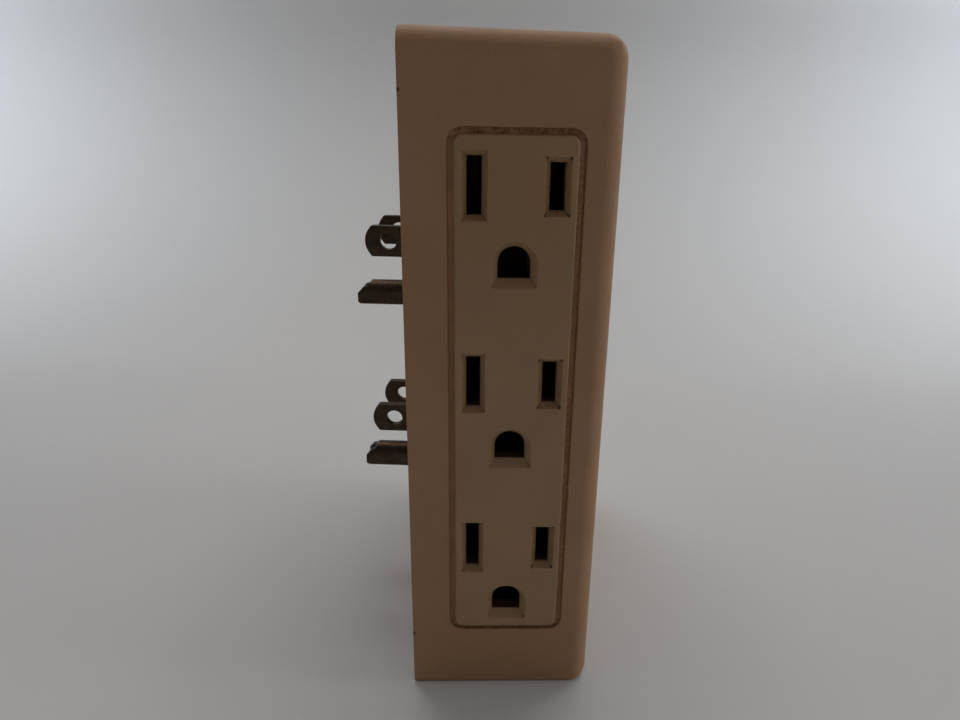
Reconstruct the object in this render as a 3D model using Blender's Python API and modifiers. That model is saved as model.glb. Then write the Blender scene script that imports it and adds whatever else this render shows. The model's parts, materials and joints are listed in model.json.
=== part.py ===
"""Plug-in wall tap: three grounded outlets on each side face, two grounded
plugs on the back. Metres, +Z up, the back (plug side) faces +Y.

The origin is on the outer face of the back cover, midway up the body. Left and
right are as seen from the room by someone who faces the wall, so left is -X.
The two outlet stacks are the same parts, turned half a turn about Z.
"""

import math

import bmesh
import bpy
from mathutils import Matrix, Vector

MM = 0.001

# ---- body ---------------------------------------------------------------
RIM_Y = 4.0 * MM              # rear edge of the housing, level with the wall
FRONT_Y = -29.5 * MM          # front face
OUTLET_Y = -13.5 * MM         # centre line of the outlets on both side faces
HALF_WIDTH = 35.0 * MM        # at OUTLET_Y
SIDE_DRAFT = math.radians(3.0)
HALF_HEIGHT = 59.15 * MM      # at the rear edge
TOP_DRAFT = math.radians(1.2)
WALL = 2.2 * MM
R_TOP = 3.3 * MM
R_FRONT = 3.0 * MM
R_FRONT_BOTTOM = 2.4 * MM
R_BOTTOM = 0.7 * MM
GAP = 0.3 * MM                # between pieces that touch

# ---- back cover and its screws ------------------------------------------
COVER_T = 2.0 * MM
BOSS_X = 24.0 * MM
BOSS_Z = 52.3 * MM
BOSS_R = 3.3 * MM
PILOT_R = 1.65 * MM
SCREW_R = 1.3 * MM
SCREW_HEAD_R = 2.8 * MM
SCREW_LENGTH = 9.0 * MM

# ---- outlets (grounded, 15 A pattern) -----------------------------------
OUTLET_PITCH = 32.2 * MM
MIDDLE_OUTLET_Z = 4.55 * MM
SLOT_Y = 6.35 * MM            # blade slots either side of the centre line
SLOT_W = 2.25 * MM
NEUTRAL_H = 8.8 * MM
HOT_H = 7.15 * MM
LEAD_IN = 0.92 * MM           # chamfer width round every slot
LEAD_DEPTH = 1.3 * MM
LAND = 0.4 * MM               # straight part of an opening, behind its chamfer
RELIEF = 0.7 * MM             # how much wider the pocket behind an opening is
GROUND_DROP = 11.9 * MM       # ground opening below the blade line
GROUND_W = 5.15 * MM
GROUND_TOP = -9.3 * MM        # the opening's top and bottom, from the blade line
GROUND_FOOT = -14.4 * MM
GROUND_LEAD = 1.15 * MM       # chamfer at the sides, then at the top and the foot
GROUND_LEAD_TOP = 0.97 * MM
GROUND_LEAD_FOOT = 1.39 * MM

# ---- outlet panel --------------------------------------------------------
PANEL_Z = -0.5 * MM
WINDOW_HALF_Y = 10.4 * MM
WINDOW_HALF_Z = 45.75 * MM
WINDOW_R = 2.3 * MM
GROOVE = 1.0 * MM
PANEL_PROUD = 0.35 * MM
STEP_D = 0.6 * MM             # depth of the groove's floor below the side face
PANEL_BACK = 4.1 * MM         # depth of the panel's inner face below the side face
FLANGE_HALF_Y = 11.0 * MM
FLANGE_HALF_Z = 47.75 * MM

# ---- contacts ------------------------------------------------------------
WEB_D = (17.1 * MM, 17.7 * MM)    # depth of the strips' webs
SHEET = 0.5 * MM
TAB = 0.8 * MM
RIVET_X = 12.0 * MM

# ---- plugs ----------------------------------------------------------------
PLUG_PITCH = 38.9 * MM
PLUG_MID_Z = 2.9 * MM
BLADE_X = 6.35 * MM
BLADE_H = 6.15 * MM
BLADE_T = 1.5 * MM
BLADE_LENGTH = 16.5 * MM
BLADE_TIP_R = 4.1 * MM
BLADE_HOLE_Y = 11.9 * MM
BLADE_HOLE_R = 1.7 * MM
PIN_W = 4.75 * MM
PIN_WALL = 0.95 * MM
PIN_LENGTH = 19.7 * MM
PIN_DROP = 12.1 * MM          # ground pin below the blades, which have settled a little

OUTLETS_Z = [MIDDLE_OUTLET_Z + k * OUTLET_PITCH for k in (1, 0, -1)]
PLUG_Z = {"upper": PLUG_MID_Z + PLUG_PITCH / 2, "lower": PLUG_MID_Z - PLUG_PITCH / 2}
# The upper plug feeds the left outlets and the lower plug the right ones.
FED_SIDE = {"upper": "left", "lower": "right"}
SIGN = {"left": -1, "right": 1}

for old in list(bpy.data.objects):
    bpy.data.objects.remove(old, do_unlink=True)

parts = bpy.data.collections.new("six_outlet_wall_tap")
cutters = bpy.data.collections.new("cutters")
bpy.context.scene.collection.children.link(parts)
bpy.context.scene.collection.children.link(cutters)
cutters.hide_render = True


def side_frame(side):
    """Depth below the side face, position across it and height, to world."""
    turn = SIDE_DRAFT if side == "left" else math.pi - SIDE_DRAFT
    place = Matrix.Translation((SIGN[side] * HALF_WIDTH, OUTLET_Y, 0))
    return place @ Matrix.Rotation(turn, 4, "Z")


def material(name, colour, roughness, metallic=0.0):
    made = bpy.data.materials.new(name)
    made.use_nodes = True
    shader = made.node_tree.nodes["Principled BSDF"]
    shader.inputs["Base Color"].default_value = (*colour, 1)
    shader.inputs["Roughness"].default_value = roughness
    shader.inputs["Metallic"].default_value = metallic
    return made


def shade(mesh):
    mesh.shade_smooth()
    mesh.set_sharp_from_angle(angle=math.radians(32))


def from_bmesh(name, bm, collection=cutters):
    bmesh.ops.recalc_face_normals(bm, faces=bm.faces)
    mesh = bpy.data.meshes.new(name)
    bm.to_mesh(mesh)
    bm.free()
    made = bpy.data.objects.new(name, mesh)
    collection.objects.link(made)
    if collection is cutters:
        made.hide_render = True
        made.display_type = "WIRE"
    return made


def box(name, low, high, matrix=None, collection=cutters):
    low, high = Vector(low), Vector(high)
    bm = bmesh.new()
    bmesh.ops.create_cube(bm, size=1.0)
    bmesh.ops.scale(bm, vec=high - low, verts=bm.verts)
    bmesh.ops.translate(bm, vec=(low + high) / 2, verts=bm.verts)
    if matrix is not None:
        bmesh.ops.transform(bm, matrix=matrix, verts=bm.verts)
    return from_bmesh(name, bm, collection)


def rod(name, centre, radius, y0, y1, segments=20, radius1=None, collection=cutters):
    """A cylinder or cone along Y, from y0 (radius) to y1 (radius1)."""
    bm = bmesh.new()
    bmesh.ops.create_cone(
        bm, cap_ends=True, segments=segments, radius1=radius,
        radius2=radius if radius1 is None else radius1, depth=y1 - y0,
    )
    bmesh.ops.rotate(bm, matrix=Matrix.Rotation(-math.pi / 2, 3, "X"), verts=bm.verts)
    bmesh.ops.translate(bm, vec=(centre[0], (y0 + y1) / 2, centre[1]), verts=bm.verts)
    return from_bmesh(name, bm, collection)


def prism(name, loops, low, high, place, collection=cutters):
    """A flat outline (and its holes) given thickness, through a filled 2D curve.

    place(u, v, w) turns the outline's u and v and the thickness w into a point."""
    curve = bpy.data.curves.new(name, "CURVE")
    curve.dimensions = "2D"
    curve.fill_mode = "BOTH"
    curve.extrude = (high - low) / 2
    for loop in loops:
        spline = curve.splines.new("POLY")
        spline.points.add(len(loop) - 1)
        for point, (u, v) in zip(spline.points, loop):
            point.co = (u, v, 0, 1)
        spline.use_cyclic_u = True
    flat = bpy.data.objects.new(name + "_outline", curve)
    bpy.context.scene.collection.objects.link(flat)
    bpy.context.view_layer.update()
    graph = bpy.context.evaluated_depsgraph_get()
    mesh = bpy.data.meshes.new_from_object(flat.evaluated_get(graph))
    bpy.data.objects.remove(flat, do_unlink=True)
    bm = bmesh.new()
    bm.from_mesh(mesh)
    bmesh.ops.remove_doubles(bm, verts=bm.verts, dist=1e-6)
    for vert in bm.verts:
        u, v, w = vert.co
        vert.co = place(u, v, w + (low + high) / 2)
    return from_bmesh(name, bm, collection)


def loft(name, rings, collection=cutters):
    """Skins a row of rings that have equal numbers of points, and caps the ends."""
    bm = bmesh.new()
    made = [[bm.verts.new(point) for point in ring] for ring in rings]
    for a, b in zip(made, made[1:]):
        for i in range(len(a)):
            j = (i + 1) % len(a)
            bm.faces.new((a[i], a[j], b[j], b[i]))
    bm.faces.new(made[0][::-1])
    bm.faces.new(made[-1])
    return from_bmesh(name, bm, collection)


def rectangle(u0, u1, v0, v1):
    return [(u0, v0), (u1, v0), (u1, v1), (u0, v1)]


def rounded(half_u, half_v, radius, centre=(0, 0), steps=4):
    loop = []
    for su, sv, start in ((1, 1, 0), (-1, 1, 90), (-1, -1, 180), (1, -1, 270)):
        for k in range(steps + 1):
            a = math.radians(start + 90 * k / steps)
            loop.append((
                centre[0] + su * (half_u - radius) + radius * math.cos(a),
                centre[1] + sv * (half_v - radius) + radius * math.sin(a),
            ))
    return loop


def arch(width, height, centre, steps=8):
    """Round on top and flat below; centre is the middle of its bounding box."""
    r = width / 2
    top = centre[1] + height / 2 - r
    loop = [(centre[0] - r, centre[1] - height / 2), (centre[0] + r, centre[1] - height / 2)]
    for k in range(steps + 1):
        a = math.pi * k / steps
        loop.append((centre[0] + r * math.cos(a), top + r * math.sin(a)))
    return loop


def disc(radius, centre, steps=20):
    return [
        (centre[0] + radius * math.cos(2 * math.pi * k / steps),
         centre[1] + radius * math.sin(2 * math.pi * k / steps))
        for k in range(steps)
    ]


def boolean(target, other, operation):
    modifier = target.modifiers.new(operation.lower(), "BOOLEAN")
    modifier.operation = operation
    modifier.solver = "EXACT"
    modifier.object = other
    return modifier


def bake(target, collection=None):
    """Applies the modifiers of an object, so that it can be cut or joined cleanly."""
    bpy.context.view_layer.update()
    graph = bpy.context.evaluated_depsgraph_get()
    mesh = bpy.data.meshes.new_from_object(target.evaluated_get(graph))
    mesh.name = target.name
    target.modifiers.clear()
    target.data = mesh
    return target


def joined(name, pieces):
    """A Boolean union of overlapping cutter shapes."""
    first = pieces[0]
    for other in pieces[1:]:
        boolean(first, other, "UNION")
    bake(first)
    for other in pieces[1:]:
        bpy.data.objects.remove(other, do_unlink=True)
    first.name = name
    first.data.name = name
    return first


def together(name, pieces):
    """Separate cutter shapes held in one mesh, so that one Boolean takes them all."""
    bm = bmesh.new()
    for piece in pieces:
        piece.data.transform(piece.matrix_world)
        bm.from_mesh(piece.data)
        bpy.data.objects.remove(piece, do_unlink=True)
    return from_bmesh(name, bm)


def part(made, name, paint):
    """Moves a finished shape among the parts."""
    for held in list(made.users_collection):
        held.objects.unlink(made)
    parts.objects.link(made)
    made.name = name
    made.data.name = name
    made.hide_render = False
    made.display_type = "TEXTURED"
    made.data.materials.clear()
    made.data.materials.append(paint)
    shade(made.data)
    return made


def drafted_box(name, inset, y0, y1, radii):
    """The body's outline, inset by a wall, between two depths, with its edges rounded.

    radii is (top, front, front_bottom, bottom)."""
    bm = bmesh.new()
    bmesh.ops.create_cube(bm, size=2.0)
    for vert in bm.verts:
        y = y1 if vert.co.y > 0 else y0
        half = HALF_WIDTH + (y - OUTLET_Y) * math.tan(SIDE_DRAFT) - inset
        top = HALF_HEIGHT - (RIM_Y - y) * math.tan(TOP_DRAFT) - inset
        vert.co = (
            math.copysign(half, vert.co.x), y,
            top if vert.co.z > 0 else -HALF_HEIGHT + inset,
        )
    widest = max(radii)
    if widest == 0:
        return from_bmesh(name, bm)
    weight = bm.edges.layers.float.new("bevel_weight_edge")
    middle = (y0 + y1) / 2
    for edge in bm.edges:
        a, b = edge.verts[0].co, edge.verts[1].co
        centre = (a + b) / 2
        along = b - a
        if centre.y > middle + 1e-4 and abs(along.y) < 1e-4:
            continue  # the rear edges stay sharp
        if abs(along.y) > 1e-3:
            radius = radii[0] if centre.z > 0 else radii[3]
        elif abs(along.z) > 1e-2:
            radius = radii[1]
        else:
            radius = radii[0] if centre.z > 0 else radii[2]
        edge[weight] = radius / widest
    made = from_bmesh(name, bm)
    bevel = made.modifiers.new("rounding", "BEVEL")
    bevel.limit_method = "WEIGHT"
    bevel.width = widest
    bevel.segments = 4 if inset == 0 else 2
    bevel.use_clamp_overlap = False
    return bake(made)


# ---- materials -------------------------------------------------------------
ivory = material("ivory_textured_plastic", (0.47, 0.35, 0.235), 0.55)
panel_ivory = material("ivory_smooth_plastic", (0.46, 0.355, 0.255), 0.38)
cover_ivory = material("ivory_cover_plastic", (0.45, 0.34, 0.23), 0.5)
carrier_white = material("insulator_plastic", (0.62, 0.58, 0.5), 0.5)
blade_metal = material("tarnished_blade_brass", (0.24, 0.19, 0.13), 0.36, 1.0)
contact_brass = material("contact_brass", (0.68, 0.5, 0.22), 0.3, 1.0)
steel = material("zinc_plated_steel", (0.6, 0.6, 0.58), 0.3, 1.0)

# ---- housing ---------------------------------------------------------------
housing = drafted_box("housing", 0.0, FRONT_Y, RIM_Y, (R_TOP, R_FRONT, R_FRONT_BOTTOM, R_BOTTOM))
cavity = drafted_box(
    "cavity", WALL, FRONT_Y + WALL, RIM_Y + 3 * MM, (1.6 * MM, 1.2 * MM, 0.9 * MM, 0.5 * MM)
)
boolean(housing, cavity, "DIFFERENCE")
bake(housing)

inner_front = FRONT_Y + WALL
boss_top = -COVER_T - GAP
corner = [(sx * BOSS_X, sz * BOSS_Z) for sx in (-1, 1) for sz in (-1, 1)]
supports = []
for i, (x, z) in enumerate(corner):
    boss = rod(f"boss_{i}", (x, z), BOSS_R, FRONT_Y + WALL / 2, boss_top)
    wall_z = math.copysign(HALF_HEIGHT - WALL / 2, z)
    web = box(
        f"boss_web_{i}",
        (x - 0.7 * MM, FRONT_Y + WALL / 2, min(z, wall_z)),
        (x + 0.7 * MM, boss_top - 4 * MM, max(z, wall_z) - (0.7 * MM if z > 0 else 0)),
    )
    supports.append(joined(f"support_{i}", [boss, web]))
for side in ("left", "right"):
    for z in (-31 * MM, 29 * MM):
        x = sorted((SIGN[side] * 16 * MM, SIGN[side] * 29.5 * MM))
        supports.append(box(
            f"{side}_rib", (x[0], FRONT_Y + WALL / 2, z - 0.6 * MM),
            (x[1], -23.6 * MM, z + 0.6 * MM),
        ))
boolean(housing, together("supports", supports), "UNION")
bake(housing)

pilots = [
    rod(f"pilot_{i}", (x, z), PILOT_R, -14.5 * MM, 1 * MM, segments=16)
    for i, (x, z) in enumerate(corner)
]
windows = []
for side in ("left", "right"):
    frame = side_frame(side)
    windows.append(prism(
        f"{side}_window",
        [rounded(WINDOW_HALF_Y, WINDOW_HALF_Z, WINDOW_R, (0, PANEL_Z))],
        -3 * MM, WALL + 3 * MM,
        lambda u, v, w, frame=frame: frame @ Vector((w, u, v)),
    ))
boolean(housing, together("housing_cuts", pilots + windows), "DIFFERENCE")
part(bake(housing), "housing", ivory)

# ---- back cover ---------------------------------------------------------------
cover = drafted_box("back_cover", WALL + GAP, -COVER_T, 0.0, (0, 0, 0, 0))
bm = bmesh.new()
bm.from_mesh(cover.data)
upright = [
    e for e in bm.edges if abs((e.verts[0].co - e.verts[1].co).y) > 1.5 * MM
]
bmesh.ops.bevel(
    bm, geom=upright, offset=1.9 * MM, segments=3, profile=0.5, affect="EDGES",
    offset_type="OFFSET",
)
bm.to_mesh(cover.data)
bm.free()

cover_adds = []
for sx in (-1, 1):
    for z0, z1 in ((33 * MM, 43 * MM), (-45 * MM, -36 * MM)):
        x = sorted((sx * 13.5 * MM, sx * 14.6 * MM))
        cover_adds.append(box("spacer_rib", (x[0], -9 * MM, z0), (x[1], -COVER_T / 2, z1)))
for line in PLUG_Z.values():
    for sx in (-1, 1):
        cover_adds.append(rod(
            "peg", (sx * 5.2 * MM, line - 8.4 * MM), 1.1 * MM, -5.8 * MM, -COVER_T / 2,
            segments=12,
        ))
boolean(cover, together("cover_adds", cover_adds), "UNION")
bake(cover)

cover_cuts = []
for i, (x, z) in enumerate(corner):
    cover_cuts.append(joined(f"screw_clearance_{i}", [
        rod("through", (x, z), 1.7 * MM, -4 * MM, 3 * MM, segments=16),
        rod("counterbore", (x, z), 3.2 * MM, -1.2 * MM, 3 * MM, segments=20),
    ]))
for line in PLUG_Z.values():
    for sx in (-1, 1):
        cover_cuts.append(box(
            "blade_slot",
            (sx * BLADE_X - BLADE_T / 2 - GAP, -4 * MM, line - BLADE_H / 2 - GAP),
            (sx * BLADE_X + BLADE_T / 2 + GAP, 3 * MM, line + BLADE_H / 2 + GAP),
        ))
    cover_cuts.append(prism(
        "pin_slot",
        [arch(PIN_W + 2 * GAP, PIN_W + 2 * GAP, (0, line - PIN_DROP))],
        -4 * MM, 3 * MM, lambda u, v, w: Vector((u, w, v)),
    ))
boolean(cover, together("cover_cuts", cover_cuts), "DIFFERENCE")
part(bake(cover), "back_cover", cover_ivory)

# ---- cover screws --------------------------------------------------------------
head_low, head_high = -0.9 * MM, 0.55 * MM
for i, (x, z) in enumerate(corner):
    name = "{}_{}_screw".format("top" if z > 0 else "bottom", "left" if x < 0 else "right")
    screw = joined(name, [
        rod("head", (x, z), SCREW_HEAD_R, head_low, head_low + 0.75 * MM, segments=24),
        rod("dome", (x, z), SCREW_HEAD_R, head_low + 0.7 * MM, head_high, segments=24,
            radius1=1.7 * MM),
        rod("shank", (x, z), SCREW_R, head_low - SCREW_LENGTH + 1.5 * MM, head_low + 0.4 * MM,
            segments=16),
        rod("point", (x, z), 0.25 * MM, head_low - SCREW_LENGTH, head_low - SCREW_LENGTH + 1.6 * MM,
            segments=16, radius1=SCREW_R),
    ])
    cross = joined("cross", [
        box("bar", (x - 1.6 * MM, head_high - 0.8 * MM, z - 0.32 * MM),
            (x + 1.6 * MM, head_high + 1 * MM, z + 0.32 * MM)),
        box("bar", (x - 0.32 * MM, head_high - 0.8 * MM, z - 1.6 * MM),
            (x + 0.32 * MM, head_high + 1 * MM, z + 1.6 * MM)),
    ])
    boolean(screw, cross, "DIFFERENCE")
    part(bake(screw), name, steel)

# ---- outlet panels -----------------------------------------------------------


def lead_in(name, outline, y, z):
    """A through opening with a chamfered mouth, and a wider pocket behind its land.

    outline(share, extra) gives its edge: share of the chamfer, and extra all round."""
    face = -PANEL_PROUD
    land = face + LEAD_DEPTH + LAND
    rings = []
    for depth, share, extra in (
        (face - 1 * MM, 1 + 1 * MM / LEAD_DEPTH, 0.0),
        (face + LEAD_DEPTH, 0.0, 0.0),
        (land, 0.0, 0.0),
        (land + 0.3 * MM, 0.0, RELIEF),
        (PANEL_BACK + 2 * MM, 0.0, RELIEF),
    ):
        rings.append([(depth, y + u, z + v) for u, v in outline(share, extra)])
    return loft(name, rings)


def slot_outline(height):
    def outline(share, extra):
        more = LEAD_IN * share + extra
        half_w, half_h = SLOT_W / 2 + more, height / 2 + more
        return rectangle(-half_w, half_w, -half_h, half_h)
    return outline


def ground_outline(share, extra):
    top = GROUND_TOP + GROUND_LEAD_TOP * share + extra
    foot = GROUND_FOOT - GROUND_LEAD_FOOT * share - extra
    width = GROUND_W + 2 * (GROUND_LEAD * share + extra)
    return arch(width, top - foot, (0, (top + foot) / 2), steps=10)


def panel_step(name, half_y, half_z, radius, low, high):
    return prism(
        name, [rounded(half_y, half_z, radius, (0, PANEL_Z))], low, high,
        lambda u, v, w: Vector((w, u, v)),
    )


panel = joined("outlet_panel", [
    panel_step("flange", FLANGE_HALF_Y, FLANGE_HALF_Z, 2.0 * MM, WALL + GAP, PANEL_BACK),
    panel_step("step", WINDOW_HALF_Y - GAP, WINDOW_HALF_Z - GAP, WINDOW_R - GAP,
               STEP_D, WALL + GAP + 0.6 * MM),
    panel_step("face", WINDOW_HALF_Y - GROOVE, WINDOW_HALF_Z - GROOVE, 1.4 * MM,
               -PANEL_PROUD, 1.7 * MM),
])
openings = []
for z in OUTLETS_Z:
    openings.append(lead_in("neutral", slot_outline(NEUTRAL_H), SLOT_Y, z))
    openings.append(lead_in("hot", slot_outline(HOT_H), -SLOT_Y, z))
    openings.append(lead_in("ground", ground_outline, 0, z))
boolean(panel, together("openings", openings), "DIFFERENCE")
bake(panel)
twin = bpy.data.objects.new("right_outlet_panel", panel.data)
parts.objects.link(twin)
part(panel, "left_outlet_panel", panel_ivory)
panel.matrix_world = side_frame("left")
twin.matrix_world = side_frame("right")

# ---- contact carriers ------------------------------------------------------------
tray_y, tray_low, tray_high = 9.9 * MM, PANEL_Z - 46.5 * MM, PANEL_Z + 46.5 * MM
tray_d0, tray_d1 = PANEL_BACK + GAP, 20.0 * MM
wall_t = 1.0 * MM
tray = box("tray", (tray_d0, -tray_y, tray_low), (tray_d1, tray_y, tray_high))
hollows = []
for y0, y1 in ((-tray_y + wall_t, -4.0 * MM), (-3.2 * MM, 3.2 * MM), (4.0 * MM, tray_y - wall_t)):
    hollows.append(box(
        "channel", (tray_d0 - 2 * MM, y0, tray_low + wall_t), (18.4 * MM, y1, tray_high - wall_t)
    ))
for line in PLUG_Z.values():
    for y0, y1 in ((-6.7 * MM, -4.8 * MM), (4.8 * MM, 6.7 * MM)):
        hollows.append(box(
            "tab_slot", (18.0 * MM, y0, line - 3.5 * MM), (22 * MM, y1, line + 3.5 * MM)
        ))
    hollows.append(box(
        "tab_slot", (18.0 * MM, -1.7 * MM, line - PIN_DROP - 2.9 * MM),
        (22 * MM, 1.7 * MM, line - PIN_DROP + 2.9 * MM),
    ))
for i, hollow in enumerate(hollows):
    boolean(tray, hollow, "DIFFERENCE")
bake(tray)
for hollow in hollows:
    bpy.data.objects.remove(hollow, do_unlink=True)
twin = bpy.data.objects.new("right_contact_carrier", tray.data)
parts.objects.link(twin)
part(tray, "left_contact_carrier", carrier_white)
tray.matrix_world = side_frame("left")
twin.matrix_world = side_frame("right")

# ---- contact strips, one per conductor and side -------------------------------------


def clip_section(grip, mouth, root):
    """A spring clip's section: two leaves that close on the blade and flare at the mouth.

    Points are (depth, across)."""
    d_web0, d_web1 = WEB_D
    inner = [(6.0 * MM, mouth), (8.6 * MM, grip), (d_web0, root)]
    outer = [(d_web1, root + SHEET), (8.6 * MM, grip + SHEET), (6.0 * MM, mouth + SHEET)]
    half = inner + outer
    return half, [(d, -y) for d, y in reversed(half)]


def clip(name, y, z, half_z, grip, mouth, root):
    upper, lower = clip_section(grip, mouth, root)
    # One closed outline: up the outside of one leaf, down the outside of the other,
    # and back along the inside of both.
    outline = [
        upper[0], upper[1], upper[2], lower[3], lower[4], lower[5],
        lower[0], lower[1], lower[2], upper[3], upper[4], upper[5],
    ]
    outline = [
        upper[0], upper[1], upper[2],
        (upper[2][0], -upper[2][1]), (upper[1][0], -upper[1][1]), (upper[0][0], -upper[0][1]),
        (upper[5][0], -upper[5][1]), (upper[4][0], -upper[4][1]), (upper[3][0], -upper[3][1]),
        upper[3], upper[4], upper[5],
    ]
    return prism(
        name, [[(d, y + across) for d, across in outline]], z - half_z, z + half_z,
        lambda u, v, w: Vector((u, v, w)),
    )


def strip(name, side, y, z_offset, half_z, grip, mouth, root, half_web, tab_y, tab_z, tab_half):
    frame = side_frame(side)
    zs = [z + z_offset for z in OUTLETS_Z]
    shapes = [box(
        "web", (WEB_D[0], y - half_web, zs[-1] - half_z - 1 * MM),
        (WEB_D[1], y + half_web, zs[0] + half_z + 1 * MM),
    )]
    shapes += [clip("clip", y, z, half_z, grip, mouth, root) for z in zs]
    for shape in shapes:
        shape.data.transform(frame)
    # The tab stands square to the wall, and ends in the middle of the tilted web.
    sign = SIGN[side]
    reach = HALF_WIDTH - ((WEB_D[0] + WEB_D[1]) / 2 - (tab_y - OUTLET_Y) * math.sin(SIDE_DRAFT)) \
        / math.cos(SIDE_DRAFT)
    local = frame.inverted() @ Vector((sign * reach, tab_y, 0))
    reach += (local.x - (WEB_D[0] + WEB_D[1]) / 2) * math.cos(SIDE_DRAFT)
    x = sorted((sign * 9.5 * MM, sign * reach))
    shapes.append(box(
        "tab", (x[0], tab_y - TAB / 2, tab_z - tab_half), (x[1], tab_y + TAB / 2, tab_z + tab_half)
    ))
    made = joined(name, shapes)
    hole = rod("rivet_hole", (sign * RIVET_X, tab_z), 1.25 * MM, tab_y - 2 * MM, tab_y + 2 * MM,
               segments=14)
    boolean(made, hole, "DIFFERENCE")
    return part(bake(made), name, contact_brass)


REAR_TAIL, FRONT_TAIL, GROUND_TAIL = -5.7 * MM, -17.2 * MM, -12.2 * MM
TAB_STEP = TAB + GAP          # a strip's tab lies this far in front of the blade's tail
blade_clip = dict(z_offset=0.0, half_z=4.0 * MM, grip=0.65 * MM, mouth=1.45 * MM, root=1.2 * MM,
                  half_web=2.1 * MM)
ground_clip = dict(z_offset=-GROUND_DROP, half_z=2.6 * MM, grip=2.15 * MM, mouth=2.35 * MM,
                   root=2.2 * MM, half_web=2.75 * MM)
for plug, line in PLUG_Z.items():
    side = FED_SIDE[plug]
    # Seen from outside with the ground opening down, neutral is always on the left,
    # which is the rear of the left side and the front of the right side.
    rear, front = ("neutral", "hot") if side == "left" else ("hot", "neutral")
    local_rear = SLOT_Y if side == "left" else -SLOT_Y
    strip(f"{side}_{rear}_strip", side, local_rear, tab_y=REAR_TAIL - TAB_STEP, tab_z=line,
          tab_half=3.0 * MM, **blade_clip)
    strip(f"{side}_{front}_strip", side, -local_rear, tab_y=FRONT_TAIL - TAB_STEP, tab_z=line,
          tab_half=3.0 * MM, **blade_clip)
    strip(f"{side}_ground_strip", side, 0.0, tab_y=GROUND_TAIL - TAB_STEP,
          tab_z=line - PIN_DROP, tab_half=2.4 * MM, **ground_clip)

# ---- plug blades, ground pins, their rivets and retainers --------------------------------


def blade_outline(line):
    """Seen from the side, (y, z): a shoulder inside the cover, and a broad round tip."""
    h = BLADE_H / 2
    chord = math.sqrt(BLADE_TIP_R ** 2 - (h - 0.35 * MM) ** 2)
    centre = BLADE_LENGTH - BLADE_TIP_R
    reach = math.atan2(h - 0.35 * MM, chord)
    loop = [(-3.1 * MM, -4.5 * MM), (-2.3 * MM, -4.5 * MM), (-2.3 * MM, -h),
            (centre + chord - 0.4 * MM, -h)]
    steps = 10
    for k in range(steps + 1):
        a = -reach + 2 * reach * k / steps
        loop.append((centre + BLADE_TIP_R * math.cos(a), BLADE_TIP_R * math.sin(a)))
    loop += [(centre + chord - 0.4 * MM, h), (-2.3 * MM, h), (-2.3 * MM, 4.5 * MM),
             (-3.1 * MM, 4.5 * MM)]
    return [(y, line + z) for y, z in loop]


def tail(x, tail_y, sign, line, half):
    """The thin tail: back through the retainer, then across to the fed side."""
    neck = box("neck", (x - TAB / 2, tail_y - TAB / 2, line - half),
               (x + TAB / 2, -2.7 * MM, line + half))
    ends = sorted((x - sign * TAB / 2, sign * 14.2 * MM))
    across = box("across", (ends[0], tail_y - TAB / 2, line - half),
                 (ends[1], tail_y + TAB / 2, line + half))
    return [neck, across]


def rivet_hole(sign, tail_y, line):
    return rod("rivet_hole", (sign * RIVET_X, line), 1.25 * MM, tail_y - 2 * MM, tail_y + 2 * MM,
               segments=14)


def rivet(name, sign, tail_y, line):
    x = sign * RIVET_X
    top, foot = tail_y + TAB / 2 + GAP, tail_y - TAB / 2 - TAB_STEP - GAP
    made = joined(name, [
        rod("rivet_head", (x, line), 1.8 * MM, top, top + 0.8 * MM, segments=16, radius1=1.1 * MM),
        rod("rivet_shank", (x, line), 0.9 * MM, foot - 0.2 * MM, top + 0.3 * MM, segments=12),
        rod("rivet_foot", (x, line), 1.3 * MM, foot - 0.7 * MM, foot, segments=16,
            radius1=1.7 * MM),
    ])
    return part(made, name, steel)


def ground_section(line):
    """An inverted U folded from sheet: round above, open below."""
    outer = arch(PIN_W, PIN_W, (0, 0), steps=12)
    width = PIN_W - 2 * PIN_WALL
    inner = arch(width, PIN_W - PIN_WALL, (0, -PIN_WALL / 2), steps=12)
    loop = [outer[1]] + outer[2:] + [outer[0]] + [inner[0]] + inner[2:][::-1] + [inner[1]]
    kept = []
    for point in loop:
        if not kept or math.dist(kept[-1], point) > 1e-6:
            kept.append(point)
    if math.dist(kept[0], kept[-1]) < 1e-6:
        kept.pop()
    return [(u, line - PIN_DROP + v) for u, v in kept]


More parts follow.
